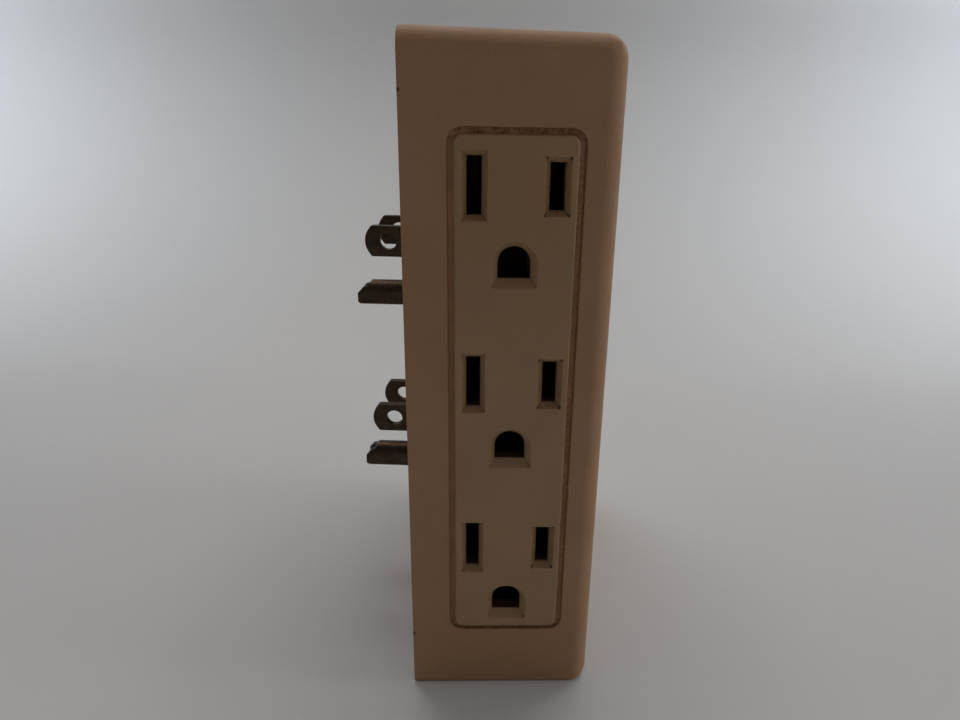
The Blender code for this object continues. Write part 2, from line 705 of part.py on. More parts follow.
for plug, line in PLUG_Z.items():
    side = FED_SIDE[plug]
    sign = SIGN[side]
    for conductor, x in (("neutral", -BLADE_X), ("hot", BLADE_X)):
        near = x * sign > 0
        tail_y = REAR_TAIL if near else FRONT_TAIL
        hole = disc(BLADE_HOLE_R, (BLADE_HOLE_Y, line))
        flat = prism(
            "blade", [blade_outline(line), hole], x - BLADE_T / 2, x + BLADE_T / 2,
            lambda u, v, w: Vector((w, u, v)),
        )
        made = joined("blade", [flat] + tail(x, tail_y, sign, line, 3.0 * MM))
        boolean(made, rivet_hole(sign, tail_y, line), "DIFFERENCE")
        part(bake(made), f"{plug}_{conductor}_blade", blade_metal)
        rivet(f"{plug}_{conductor}_rivet", sign, tail_y, line)

    ground = line - PIN_DROP
    pin = prism("pin", [ground_section(line)], -2.6 * MM, PIN_LENGTH,
                lambda u, v, w: Vector((u, w, v)))
    collar = prism("collar", [arch(6.6 * MM, 6.6 * MM, (0, ground))], -3.1 * MM, -2.3 * MM,
                   lambda u, v, w: Vector((u, w, v)))
    made = joined("pin", [pin, collar] + tail(0.0, GROUND_TAIL, sign, ground, 2.4 * MM))
    # Seen from the side, the two walls end in a slope, and the round top is cut back
    # further, with a slope of its own. There is a small chamfer below.
    tip, crown = PIN_LENGTH, ground + PIN_W / 2
    nose = prism("nose", [[
        (tip + 2 * MM, crown + 2 * MM), (tip - 4.8 * MM, crown + 2 * MM),
        (tip - 2.75 * MM, crown), (tip - 1.80 * MM, crown - 1.12 * MM),
        (tip - 1.05 * MM, crown - 1.26 * MM), (tip, crown - 2.45 * MM),
        (tip + 2 * MM, crown - 4.6 * MM),
    ]], -6 * MM, 6 * MM, lambda u, v, w: Vector((w, u, v)))
    under = box("under", (-6 * MM, 0, -8 * MM), (6 * MM, 8 * MM, 0))
    under.data.transform(
        Matrix.Translation((0, PIN_LENGTH - 0.55 * MM, ground - PIN_W / 2))
        @ Matrix.Rotation(math.radians(35), 4, "X")
    )
    boolean(made, nose, "DIFFERENCE")
    boolean(made, under, "DIFFERENCE")
    boolean(made, rivet_hole(sign, GROUND_TAIL, ground), "DIFFERENCE")
    part(bake(made), f"{plug}_ground_pin", blade_metal)
    rivet(f"{plug}_ground_rivet", sign, GROUND_TAIL, ground)

    retainer = box("retainer", (-9.5 * MM, -5.0 * MM, line - 17.5 * MM),
                   (9.5 * MM, -3.4 * MM, line + 6.0 * MM))
    holes = []
    for x in (-BLADE_X, BLADE_X):
        holes.append(box("neck_slot", (x - TAB / 2 - GAP, -7 * MM, line - 3.3 * MM),
                         (x + TAB / 2 + GAP, -1 * MM, line + 3.3 * MM)))
        holes.append(rod("peg_hole", (math.copysign(5.2 * MM, x), line - 8.4 * MM), 1.4 * MM,
                         -7 * MM, -1 * MM, segments=12))
    holes.append(box("neck_slot", (-TAB / 2 - GAP, -7 * MM, ground - 2.7 * MM),
                     (TAB / 2 + GAP, -1 * MM, ground + 2.7 * MM)))
    boolean(retainer, together("retainer_cuts", holes), "DIFFERENCE")
    part(bake(retainer), f"{plug}_blade_retainer", carrier_white)
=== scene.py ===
"""Looks for the six-outlet plug-in wall tap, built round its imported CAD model.

Metres, +Z up, the back (plug side) faces +Y. Left and right are as seen from the
room by someone who faces the wall, so left is -X, the side the camera looks at.
"""

import json
import math

import bmesh
import bpy
from mathutils import Matrix, Vector

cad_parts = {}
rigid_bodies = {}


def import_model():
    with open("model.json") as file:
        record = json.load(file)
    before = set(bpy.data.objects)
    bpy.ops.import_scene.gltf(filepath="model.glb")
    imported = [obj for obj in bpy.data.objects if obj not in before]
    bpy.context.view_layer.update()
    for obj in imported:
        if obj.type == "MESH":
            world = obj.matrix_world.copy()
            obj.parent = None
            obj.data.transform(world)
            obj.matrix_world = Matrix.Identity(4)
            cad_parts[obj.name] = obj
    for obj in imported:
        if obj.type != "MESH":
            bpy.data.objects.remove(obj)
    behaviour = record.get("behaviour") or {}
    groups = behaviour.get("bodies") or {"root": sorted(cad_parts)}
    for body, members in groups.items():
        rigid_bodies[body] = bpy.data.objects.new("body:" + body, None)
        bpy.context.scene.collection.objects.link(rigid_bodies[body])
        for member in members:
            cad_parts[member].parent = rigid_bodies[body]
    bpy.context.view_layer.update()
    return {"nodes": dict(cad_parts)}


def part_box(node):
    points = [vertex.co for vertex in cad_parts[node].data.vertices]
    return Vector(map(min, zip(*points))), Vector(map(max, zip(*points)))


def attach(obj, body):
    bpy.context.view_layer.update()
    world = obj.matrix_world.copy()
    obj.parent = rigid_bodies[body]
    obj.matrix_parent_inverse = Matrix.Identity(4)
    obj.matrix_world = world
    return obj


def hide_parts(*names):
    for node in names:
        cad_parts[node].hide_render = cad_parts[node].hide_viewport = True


for old in list(bpy.data.objects):
    bpy.data.objects.remove(old, do_unlink=True)
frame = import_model()

MM = 0.001

# ---- sizes of the CAD model, which the pieces here repeat ---------------------
RIM_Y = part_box("housing")[1].y
FRONT_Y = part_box("housing")[0].y
FLOOR_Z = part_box("housing")[0].z
HALF_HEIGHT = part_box("housing")[1].z
OUTLET_Y = -13.5 * MM
HALF_WIDTH = 35.0 * MM
SIDE_DRAFT = math.radians(3.0)
TOP_DRAFT = math.radians(1.2)
WALL = 2.2 * MM
R_TOP = 3.3 * MM
R_FRONT = 3.0 * MM
R_FRONT_BOTTOM = 2.4 * MM
R_BOTTOM = 0.7 * MM
GAP = 0.3 * MM

COVER_T = 2.0 * MM
BOSS_X = 24.0 * MM
BOSS_Z = 52.3 * MM
BOSS_R = 3.3 * MM
PILOT_R = 1.65 * MM
SCREW_R = 1.3 * MM
SCREW_HEAD_R = 2.8 * MM
SCREW_LENGTH = 9.0 * MM

OUTLET_PITCH = 32.2 * MM
MIDDLE_OUTLET_Z = 4.55 * MM
SLOT_Y = 6.35 * MM
SLOT_W = 2.25 * MM
NEUTRAL_H = 8.8 * MM
HOT_H = 7.15 * MM
LEAD_IN = 0.92 * MM
LEAD_DEPTH = 1.3 * MM
LAND = 0.4 * MM
RELIEF = 0.7 * MM
GROUND_W = 5.15 * MM
GROUND_TOP = -9.3 * MM
GROUND_FOOT = -14.4 * MM
GROUND_LEAD = 1.15 * MM
GROUND_LEAD_TOP = 0.97 * MM
GROUND_LEAD_FOOT = 1.39 * MM

PANEL_Z = -0.5 * MM
WINDOW_HALF_Y = 10.4 * MM
WINDOW_HALF_Z = 45.75 * MM
WINDOW_R = 2.3 * MM
GROOVE = 1.0 * MM
PANEL_PROUD = 0.35 * MM
STEP_D = 0.6 * MM
PANEL_BACK = 4.1 * MM
FLANGE_HALF_Y = 11.0 * MM
FLANGE_HALF_Z = 47.75 * MM

PLUG_PITCH = 38.9 * MM
PLUG_MID_Z = 2.9 * MM
BLADE_X = 6.35 * MM
BLADE_H = 6.15 * MM
BLADE_T = 1.5 * MM
BLADE_LENGTH = 16.5 * MM
BLADE_TIP_R = 4.1 * MM
BLADE_HOLE_Y = 11.9 * MM
BLADE_HOLE_R = 1.7 * MM
PIN_W = 4.75 * MM
PIN_WALL = 0.95 * MM
PIN_LENGTH = 19.7 * MM
PIN_DROP = 12.1 * MM
TAB = 0.8 * MM
RIVET_X = 12.0 * MM
REAR_TAIL, FRONT_TAIL, GROUND_TAIL = -5.7 * MM, -17.2 * MM, -12.2 * MM

OUTLETS_Z = [MIDDLE_OUTLET_Z + k * OUTLET_PITCH for k in (1, 0, -1)]
PLUG_Z = {"upper": PLUG_MID_Z + PLUG_PITCH / 2, "lower": PLUG_MID_Z - PLUG_PITCH / 2}
FED_SIDE = {"upper": "left", "lower": "right"}
SIGN = {"left": -1, "right": 1}


def side_frame(side):
    """Depth below the side face, position across it and height, to world."""
    turn = SIDE_DRAFT if side == "left" else math.pi - SIDE_DRAFT
    place = Matrix.Translation((SIGN[side] * HALF_WIDTH, OUTLET_Y, 0))
    return place @ Matrix.Rotation(turn, 4, "Z")


# ---- materials ----------------------------------------------------------------


class Paint:
    """A material of procedural nodes. Its lengths are millimetres in the piece's frame."""

    def __init__(self, name):
        self.material = bpy.data.materials.new(name)
        self.material.use_nodes = True
        self.tree = self.material.node_tree
        self.tree.nodes.clear()
        self.shader = self.add("ShaderNodeBsdfPrincipled")
        out = self.add("ShaderNodeOutputMaterial")
        self.tree.links.new(self.shader.outputs[0], out.inputs["Surface"])
        where = self.add("ShaderNodeTexCoord").outputs["Object"]
        self.mm = self.stretched((1000, 1000, 1000), where)

    def add(self, kind, **settings):
        made = self.tree.nodes.new(kind)
        for key, value in settings.items():
            setattr(made, key, value)
        return made

    def put(self, socket, value):
        if isinstance(value, bpy.types.NodeSocket):
            self.tree.links.new(value, socket)
        elif value is not None:
            if socket.type == "RGBA" and len(value) == 3:
                value = (*value, 1)
            socket.default_value = value

    def stretched(self, factors, vector=None):
        node = self.add("ShaderNodeVectorMath", operation="MULTIPLY")
        self.put(node.inputs[0], self.mm if vector is None else vector)
        self.put(node.inputs[1], factors)
        return node.outputs[0]

    def moved(self, offset, vector=None):
        node = self.add("ShaderNodeVectorMath", operation="ADD")
        self.put(node.inputs[0], self.mm if vector is None else vector)
        self.put(node.inputs[1], offset)
        return node.outputs[0]

    def noise(self, scale, detail=2.0, roughness=0.5, distortion=0.0, vector=None):
        node = self.add("ShaderNodeTexNoise")
        self.put(node.inputs["Vector"], self.mm if vector is None else vector)
        self.put(node.inputs["Scale"], scale)
        self.put(node.inputs["Detail"], detail)
        self.put(node.inputs["Roughness"], roughness)
        self.put(node.inputs["Distortion"], distortion)
        return node.outputs["Fac"]

    def cells(self, scale, feature="F1", vector=None, output="Distance", randomness=1.0):
        node = self.add("ShaderNodeTexVoronoi", feature=feature)
        self.put(node.inputs["Vector"], self.mm if vector is None else vector)
        self.put(node.inputs["Scale"], scale)
        self.put(node.inputs["Randomness"], randomness)
        return node.outputs[output]

    def math(self, operation, a, b=None, c=None, clamp=False):
        node = self.add("ShaderNodeMath", operation=operation, use_clamp=clamp)
        for socket, value in zip(node.inputs, (a, b, c)):
            self.put(socket, value)
        return node.outputs[0]

    def times(self, *values):
        made = values[0]
        for value in values[1:]:
            made = self.math("MULTIPLY", made, value)
        return made

    def span(self, value, low, high, to_low=0.0, to_high=1.0, smooth=True):
        """value from low to high, taken to to_low to to_high and held there outside."""
        node = self.add(
            "ShaderNodeMapRange",
            interpolation_type="SMOOTHSTEP" if smooth else "LINEAR",
        )
        if not smooth:
            node.clamp = True
        for i, number in enumerate((value, low, high, to_low, to_high)):
            self.put(node.inputs[i], number)
        return node.outputs[0]

    def split(self, vector=None):
        node = self.add("ShaderNodeSeparateXYZ")
        self.put(node.inputs[0], self.mm if vector is None else vector)
        return node.outputs

    def mix(self, share, a, b, blend="MIX"):
        node = self.add("ShaderNodeMix", data_type="RGBA", blend_type=blend)
        self.put(node.inputs[0], share)
        self.put(node.inputs[6], a)
        self.put(node.inputs[7], b)
        return node.outputs[2]

    def bump(self, height, distance, strength=1.0, normal=None):
        """distance is in millimetres."""
        node = self.add("ShaderNodeBump")
        self.put(node.inputs["Strength"], strength)
        self.put(node.inputs["Distance"], distance * MM)
        self.put(node.inputs["Height"], height)
        self.put(node.inputs["Normal"], normal)
        return node.outputs["Normal"]

    def near(self, point, inner, outer):
        """1 within inner millimetres of a point and 0 beyond outer."""
        node = self.add("ShaderNodeVectorMath", operation="DISTANCE")
        self.put(node.inputs[0], self.mm)
        self.put(node.inputs[1], point)
        return self.span(node.outputs["Value"], inner, outer, 1.0, 0.0)

    def set(self, **values):
        names = {
            "base": "Base Color", "metallic": "Metallic", "roughness": "Roughness",
            "ior": "IOR", "normal": "Normal", "specular": "Specular IOR Level",
            "coat": "Coat Weight", "coat_roughness": "Coat Roughness",
            "subsurface": "Subsurface Weight", "anisotropic": "Anisotropic",
        }
        for key, value in values.items():
            self.put(self.shader.inputs[names[key]], value)
        return self.material


# A dark brown for grime, also used for the painted shade at the panel's openings.
GRIME_AND_SHADE = (0.060, 0.032, 0.020)


def shell_plastic(name, light, dark, inside=False):
    """Aged ivory plastic with a fine sand-blasted texture."""
    p = Paint(name)
    broad = p.noise(0.035, 3.0, 0.55)
    colour = p.mix(p.span(broad, 0.32, 0.68), dark, light)
    # Finger grime and fading: cloudy patches of a few millimetres.
    cloud = p.noise(0.21, 4.0, 0.6, 0.4, p.moved((31.0, 7.0, 13.0)))
    colour = p.mix(
        p.span(cloud, 0.48, 0.74, 0.0, 0.20), colour, tuple(0.82 * c for c in dark)
    )
    # The tops of the texture are rubbed a little paler than its pits.
    grain = p.noise(3.1, 3.0, 0.62)
    colour = p.mix(p.span(grain, 0.40, 0.66, 0.0, 0.26), colour, tuple(1.13 * c for c in light))
    pits = p.cells(1.35, vector=p.moved((5.0, 3.0, 9.0)))
    pit_mask = p.times(
        p.span(pits, 0.05, 0.17, 1.0, 0.0),
        p.span(p.noise(0.45, 1.0, 0.5, 0.0, p.moved((11.0, 2.0, 5.0))), 0.52, 0.66),
    )
    colour = p.mix(p.times(pit_mask, 0.55), colour, tuple(0.38 * c for c in dark))
    if not inside:
        # Two dark nicks in the rear edge.
        nicks = p.math(
            "MAXIMUM",
            p.near((-35.9, 3.9, 50.2), 0.24, 0.46),
            p.near((-35.9, 3.9, -47.2), 0.28, 0.52),
        )
        colour = p.mix(p.times(nicks, 0.85), colour, GRIME_AND_SHADE)
    rough = p.span(cloud, 0.3, 0.75, 0.50, 0.62, smooth=False)
    fine = p.noise(2.6, 4.0, 0.68)
    coarse = p.cells(1.9, feature="SMOOTH_F1", vector=p.moved((0.4, 2.2, 1.1)))
    normal = p.bump(fine, 0.075, 0.75)
    normal = p.bump(coarse, 0.030, 0.5, normal)
    return p.set(base=colour, roughness=rough, normal=normal, specular=0.42)


def groove_plastic(name, light, dark, middle_y=0.0):
    """The same plastic where dust has settled: the panel's step and the window's wall."""
    p = Paint(name)
    x, y, z = p.split(p.moved((0.0, -middle_y, 0.0)))
    colour = p.mix(p.span(p.noise(0.3, 3.0), 0.3, 0.7), dark, light)
    dust = p.noise(1.30, 5.0, 0.66, 0.3, p.moved((4.0, 17.0, 2.0)))
    fine = p.noise(3.4, 3.0, 0.7, 0.0, p.moved((9.0, 1.0, 6.0)))
    # More of it along the two short ends and down the front side than at the rear.
    ends = p.span(p.math("ABSOLUTE", p.math("SUBTRACT", z, PANEL_Z / MM)), 42.6, 44.6)
    front = p.span(y, -8.6, -9.7, 0.0, 0.55)
    where = p.math("ADD", p.math("MAXIMUM", ends, front), 0.02)
    colour = p.mix(
        p.times(p.span(dust, 0.40, 0.66), where, 0.55), colour, tuple(2.2 * c for c in GRIME_AND_SHADE)
    )
    specks = p.times(p.span(fine, 0.55, 0.62), p.span(dust, 0.40, 0.54), where)
    colour = p.mix(p.times(specks, 0.95), colour, tuple(0.6 * c for c in GRIME_AND_SHADE))
    normal = p.bump(p.noise(2.2, 4.0, 0.65), 0.06, 0.7)
    return p.set(base=colour, roughness=p.span(dust, 0.3, 0.7, 0.6, 0.85), normal=normal,
                 specular=0.22)


def panel_plastic(name, light, dark):
    """Smoother satin plastic, with grime in the mitred corners of every opening and painted shade at
    each opening's lip and throat.
    """
    p = Paint(name)
    x, y, z = p.split()
    broad = p.noise(0.05, 3.0, 0.5, 0.0, p.moved((3.0, 8.0, 4.0)))
    colour = p.mix(p.span(broad, 0.3, 0.7), dark, light)
    cloud = p.noise(0.33, 4.0, 0.62, 0.6, p.moved((12.0, 5.0, 21.0)))
    colour = p.mix(p.span(cloud, 0.47, 0.75, 0.0, 0.22), colour, tuple(0.84 * c for c in dark))
    grain = p.noise(2.4, 3.0, 0.6, 0.0, p.moved((1.0, 6.0, 2.0)))
    colour = p.mix(p.span(grain, 0.44, 0.68, 0.0, 0.14), colour, tuple(1.10 * c for c in light))

    # Height above the blade line of the outlet this point belongs to.
    steps = p.math("ROUND", p.math("DIVIDE", p.math("SUBTRACT", z, MIDDLE_OUTLET_Z / MM + 0.0),
                                   OUTLET_PITCH / MM))
    line = p.math("ADD", p.times(steps, OUTLET_PITCH / MM), MIDDLE_OUTLET_Z / MM)
    up = p.math("SUBTRACT", z, line)
    across = p.math("SUBTRACT", p.math("ABSOLUTE", p.math("SUBTRACT", p.math("ABSOLUTE", y),
                                                          SLOT_Y / MM)), SLOT_W / MM / 2)
    tall = p.span(y, -0.01, 0.01, HOT_H / MM / 2, NEUTRAL_H / MM / 2, smooth=False)
    over = p.math("SUBTRACT", p.math("ABSOLUTE", up), tall)
    mitre = p.span(p.math("ABSOLUTE", p.math("SUBTRACT", across, over)), 0.02, 0.15, 1.0, 0.0)
    reach = p.times(p.span(over, 0.0, 0.15), p.span(over, 0.84, 0.96, 1.0, 0.0))
    outward = p.span(over, 0.25, 0.85, 0.25, 0.8)
    lumps = p.noise(0.9, 3.0, 0.6, 0.0, p.moved((7.0, 0.0, 3.0)))
    # The front slots have seen more plugs, so they are dirtier.
    dirty = p.span(y, -3.0, 3.0, 0.95, 0.55)
    corner = p.times(mitre, reach, outward, p.span(lumps, 0.36, 0.60), dirty)
    # A thin line of painted shade where the lead-in meets the opening, and blotches of grime on the
    # slopes.
    edge = p.math("MAXIMUM", across, over)
    on_slope = p.times(p.span(edge, 0.0, 0.04), p.span(edge, 0.88, 0.94, 1.0, 0.0))
    lip_shade = p.times(p.span(edge, 0.02, 0.22, 1.0, 0.0), p.span(edge, -0.05, 0.0), 0.45)
    fine = p.noise(2.9, 4.0, 0.66, 0.0, p.moved((2.0, 4.0, 8.0)))
    blot = p.times(on_slope, p.span(fine, 0.51, 0.62), p.span(lumps, 0.42, 0.56), dirty)
    dirt_and_shade = p.math("MAXIMUM", corner, p.math("MAXIMUM", lip_shade, p.times(blot, 0.7)))
    # Specks packed into the outer corners of the front slots.
    specks = p.noise(2.1, 3.0, 0.7, 0.3, p.moved((8.0, 8.0, 2.0)))
    deep_corner = p.math("ADD", p.math("MINIMUM", across, over), p.times(specks, 1.3))
    corner_dot = p.times(
        p.span(deep_corner, 1.02, 1.22), on_slope, p.span(y, -3.0, -1.0, 1.0, 0.30),
    )
    # And into the lower corners of the ground openings.
    side = p.math("ABSOLUTE", y)
    foot = p.math("SUBTRACT", GROUND_FOOT / MM, up)
    wing = p.math("SUBTRACT", side, GROUND_W / MM / 2)
    ground_corner = p.times(
        p.span(wing, 0.40, 0.62), p.span(wing, 1.0, 1.08, 1.0, 0.0),
        p.span(foot, 0.50, 0.80), p.span(foot, 1.20, 1.30, 1.0, 0.0),
        p.span(specks, 0.46, 0.56), p.span(y, -0.5, 0.5, 0.9, 0.35),
    )
    dirt_and_shade = p.math("MAXIMUM", dirt_and_shade, p.math("MAXIMUM", corner_dot, ground_corner))
    # Painted shade: the throat of each opening is darkened with depth.
    dirt_and_shade = p.math("MAXIMUM", dirt_and_shade, p.span(x, 0.86, 1.04, 0.0, 0.93))
    # Grime, and the painted shade at the lips and throats, are mixed in as one dark brown.
    colour = p.mix(p.times(dirt_and_shade, 0.88), colour, GRIME_AND_SHADE)

    # Small dark dots here and there over the face.
    dots = p.cells(0.42, vector=p.moved((2.5, 6.5, 1.5)))
    colour = p.mix(p.span(dots, 0.020, 0.045, 0.35, 0.0), colour, tuple(0.4 * c for c in dark))

    # Plug scuffs: short faint scratches that run across the face.
    turned = p.stretched((1.0, 0.35, 3.2), p.moved((0.0, 2.0, 9.0)))
    scuffs = p.times(p.span(p.noise(1.6, 5.0, 0.7, 1.2, turned), 0.62, 0.72),
                     p.span(cloud, 0.40, 0.60))
    rough = p.math("ADD", p.span(broad, 0.3, 0.7, 0.36, 0.44, smooth=False),
                   p.times(scuffs, 0.14))
    rough = p.math("ADD", rough, p.times(dirt_and_shade, 0.25), clamp=True)
    normal = p.bump(p.noise(4.2, 3.0, 0.6), 0.022, 0.5)
    normal = p.bump(scuffs, 0.012, 0.6, normal)
    return p.set(base=colour, roughness=rough, normal=normal, specular=0.45)


def blade_metal(name):
    """Tarnished brass, browned all over and brighter where sockets have rubbed it."""
    p = Paint(name)
    x, y, z = p.split()
    patina = p.noise(0.38, 5.0, 0.62, 0.6)
    colour = p.mix(p.span(patina, 0.34, 0.68), (0.060, 0.042, 0.029), (0.092, 0.066, 0.045))
    bloom = p.noise(1.5, 4.0, 0.6, 0.0, p.moved((3.0, 9.0, 1.0)))
    colour = p.mix(p.span(bloom, 0.50, 0.72, 0.0, 0.45), colour, (0.040, 0.027, 0.019))
    # Rubbed streaks run along the blade, mostly near the tip.
    streaks = p.noise(1.0, 4.0, 0.65, 0.0, p.stretched((1.6, 0.16, 3.6)))
    rubbed = p.times(p.span(streaks, 0.52, 0.76), p.span(y, 5.0, 15.0, 0.08, 0.30))
    colour = p.mix(rubbed, colour, (0.185, 0.128, 0.078))
    rough = p.math("ADD", p.span(patina, 0.3, 0.7, 0.34, 0.52, smooth=False),
                   p.times(p.span(bloom, 0.5, 0.7), 0.10))
    rough = p.math("SUBTRACT", rough, p.times(rubbed, 0.12), clamp=True)
    lines = p.noise(1.0, 3.0, 0.6, 0.0, p.stretched((9.0, 0.5, 9.0)))
    normal = p.bump(lines, 0.010, 0.6)
    normal = p.bump(bloom, 0.014, 0.4, normal)
    return p.set(base=colour, roughness=rough, normal=normal, metallic=1.0)


def contact_brass(name):
    p = Paint(name)
    tone = p.noise(0.5, 4.0, 0.6)
    colour = p.mix(p.span(tone, 0.3, 0.7), (0.12, 0.075, 0.032), (0.19, 0.125, 0.055))
    colour = p.mix(p.span(p.noise(1.7, 3.0, 0.6), 0.55, 0.75, 0.0, 0.5), colour,
                   (0.07, 0.042, 0.022))
    lines = p.noise(1.0, 3.0, 0.6, 0.0, p.stretched((6.0, 6.0, 0.5)))
    return p.set(base=colour, metallic=1.0, roughness=p.span(tone, 0.3, 0.7, 0.42, 0.6),
                 normal=p.bump(lines, 0.012, 0.6))


def zinc(name):
    """Zinc-plated steel, dulled, with darker spots."""
    p = Paint(name)
    tone = p.noise(0.9, 4.0, 0.6)
    colour = p.mix(p.span(tone, 0.32, 0.68), (0.33, 0.32, 0.30), (0.56, 0.55, 0.52))
    spots = p.noise(2.6, 3.0, 0.65, 0.0, p.moved((4.0, 4.0, 4.0)))
    colour = p.mix(p.span(spots, 0.56, 0.70, 0.0, 0.6), colour, (0.17, 0.13, 0.10))
    return p.set(base=colour, metallic=1.0, roughness=p.span(tone, 0.3, 0.7, 0.30, 0.50),
                 normal=p.bump(p.noise(3.0, 4.0, 0.6), 0.012, 0.7))


def shaded_insulator(name, light, dark):
    """Dull moulded insulating plastic, painted dark brown as shade so the insides seen through the
    openings read black.
    """
    p = Paint(name)
    tone = p.noise(0.4, 4.0, 0.6)
    colour = p.mix(p.span(tone, 0.3, 0.7), dark, light)
    colour = p.mix(p.span(p.noise(2.4, 3.0, 0.6), 0.5, 0.7, 0.0, 0.4), colour,
                   tuple(0.6 * c for c in dark))
    return p.set(base=colour, roughness=p.span(tone, 0.3, 0.7, 0.45, 0.62),
                 normal=p.bump(p.noise(2.8, 3.0, 0.6), 0.03, 0.6))


SHELL_LIGHT, SHELL_DARK = (0.438, 0.250, 0.134), (0.405, 0.229, 0.120)
PANEL_LIGHT, PANEL_DARK = (0.404, 0.252, 0.135), (0.371, 0.228, 0.120)
shell_mat = shell_plastic("aged_ivory_textured", SHELL_LIGHT, SHELL_DARK)
groove_mat = groove_plastic("aged_ivory_dusty", tuple(1.13 * c for c in SHELL_LIGHT), tuple(1.03 * c for c in SHELL_DARK))
reveal_mat = groove_plastic("aged_ivory_reveal", SHELL_LIGHT, tuple(0.9 * c for c in SHELL_DARK),
                            OUTLET_Y / MM)
panel_mat = panel_plastic("aged_ivory_satin", PANEL_LIGHT, PANEL_DARK)
cover_mat = shell_plastic("aged_ivory_cover", (0.470, 0.275, 0.155), (0.420, 0.243, 0.133),
                          inside=True)
blade_mat = blade_metal("tarnished_brass")
brass_mat = contact_brass("spring_brass")
zinc_mat = zinc("dull_zinc")
shaded_insulator_mat = shaded_insulator("phenolic_painted_shade", (0.050, 0.036, 0.027), (0.030, 0.022, 0.017))

# ---- mesh tools -----------------------------------------------------------------

scrap = bpy.data.collections.new("scrap")
bpy.context.scene.collection.children.link(scrap)


def from_bmesh(name, bm):
    bmesh.ops.recalc_face_normals(bm, faces=bm.faces)
    mesh = bpy.data.meshes.new(name)
    bm.to_mesh(mesh)
    bm.free()
    made = bpy.data.objects.new(name, mesh)
    scrap.objects.link(made)
    return made


def box(name, low, high, matrix=None):
    low, high = Vector(low), Vector(high)
    bm = bmesh.new()
    bmesh.ops.create_cube(bm, size=1.0)
    bmesh.ops.scale(bm, vec=high - low, verts=bm.verts)
    bmesh.ops.translate(bm, vec=(low + high) / 2, verts=bm.verts)
    if matrix is not None:
        bmesh.ops.transform(bm, matrix=matrix, verts=bm.verts)
    return from_bmesh(name, bm)


def rod(name, centre, radius, y0, y1, segments=32, radius1=None):
    """A cylinder or cone along Y, from y0 (radius) to y1 (radius1)."""
    radius1 = radius if radius1 is None else radius1
    return loft(name, [
        [(centre[0] + r * math.cos(a), y, centre[1] + r * math.sin(a))
         for a in (2 * math.pi * k / segments for k in range(segments))]
        for r, y in ((radius, y0), (radius1, y1))
    ])


def loft(name, rings):
    """Skins a row of rings that have equal numbers of points, and caps the ends."""
    bm = bmesh.new()
    made = [[bm.verts.new(point) for point in ring] for ring in rings]
    for a, b in zip(made, made[1:]):
        for i in range(len(a)):
            j = (i + 1) % len(a)
            bm.faces.new((a[i], a[j], b[j], b[i]))
    bm.faces.new(made[0][::-1])
    bm.faces.new(made[-1])
    return from_bmesh(name, bm)


def prism(name, loop, low, high, place):
    return loft(name, [[place(u, v, w) for u, v in loop] for w in (low, high)])


def spun(name, centre, profile, segments=48):
    """A closed turned shape about a line along Y. profile is (radius, y), from axis to axis."""
    bm = bmesh.new()
    rows = []
    for r, y in profile:
        if r == 0:
            rows.append([bm.verts.new((centre[0], y, centre[1]))])
        else:
            rows.append([
                bm.verts.new((centre[0] + r * math.cos(2 * math.pi * k / segments), y,
                              centre[1] + r * math.sin(2 * math.pi * k / segments)))
                for k in range(segments)
            ])
    for a, b in zip(rows, rows[1:]):
        for k in range(segments):
            j = (k + 1) % segments
            corners = [a[k % len(a)], a[j % len(a)], b[j % len(b)], b[k % len(b)]]
            kept = list(dict.fromkeys(corners))
            bm.faces.new(kept)
    return from_bmesh(name, bm)


def rectangle(u0, u1, v0, v1):
    return [(u0, v0), (u1, v0), (u1, v1), (u0, v1)]


def rounded(half_u, half_v, radius, centre=(0, 0), steps=8):
    loop = []
    for su, sv, start in ((1, 1, 0), (-1, 1, 90), (-1, -1, 180), (1, -1, 270)):
        for k in range(steps + 1):
            a = math.radians(start + 90 * k / steps)
            loop.append((
                centre[0] + su * (half_u - radius) + radius * math.cos(a),
                centre[1] + sv * (half_v - radius) + radius * math.sin(a),
            ))
    return loop


def arch(width, height, centre, steps=24):
    """Round on top and flat below; centre is the middle of its bounding box."""
    r = width / 2
    top = centre[1] + height / 2 - r
    loop = [(centre[0] - r, centre[1] - height / 2), (centre[0] + r, centre[1] - height / 2)]
    for k in range(steps + 1):
        a = math.pi * k / steps
        loop.append((centre[0] + r * math.cos(a), top + r * math.sin(a)))
    return loop


def boolean(target, other, operation):
    modifier = target.modifiers.new(operation.lower(), "BOOLEAN")
    modifier.operation = operation
    modifier.solver = "EXACT"
    modifier.object = other
    return modifier


def bake(target):
    """Applies the modifiers of an object."""
    bpy.context.view_layer.update()
    graph = bpy.context.evaluated_depsgraph_get()
    mesh = bpy.data.meshes.new_from_object(target.evaluated_get(graph))
    mesh.name = target.name
    target.modifiers.clear()
    target.data = mesh
    return target


def drop(*objects):
    for made in objects:
        bpy.data.objects.remove(made, do_unlink=True)


def combined(target, others, operation):
    for other in others:
        boolean(target, other, operation)
    bake(target)
    drop(*others)
    return target


def together(name, pieces):
    """Separate shapes held in one mesh, so that one Boolean takes them all."""
    bm = bmesh.new()
    for piece in pieces:
        piece.data.transform(piece.matrix_world)
        bm.from_mesh(piece.data)
    drop(*pieces)
    return from_bmesh(name, bm)


def tidy(bm):
    bmesh.ops.remove_doubles(bm, verts=bm.verts, dist=2e-6)
    bmesh.ops.dissolve_degenerate(bm, edges=bm.edges, dist=1e-6)


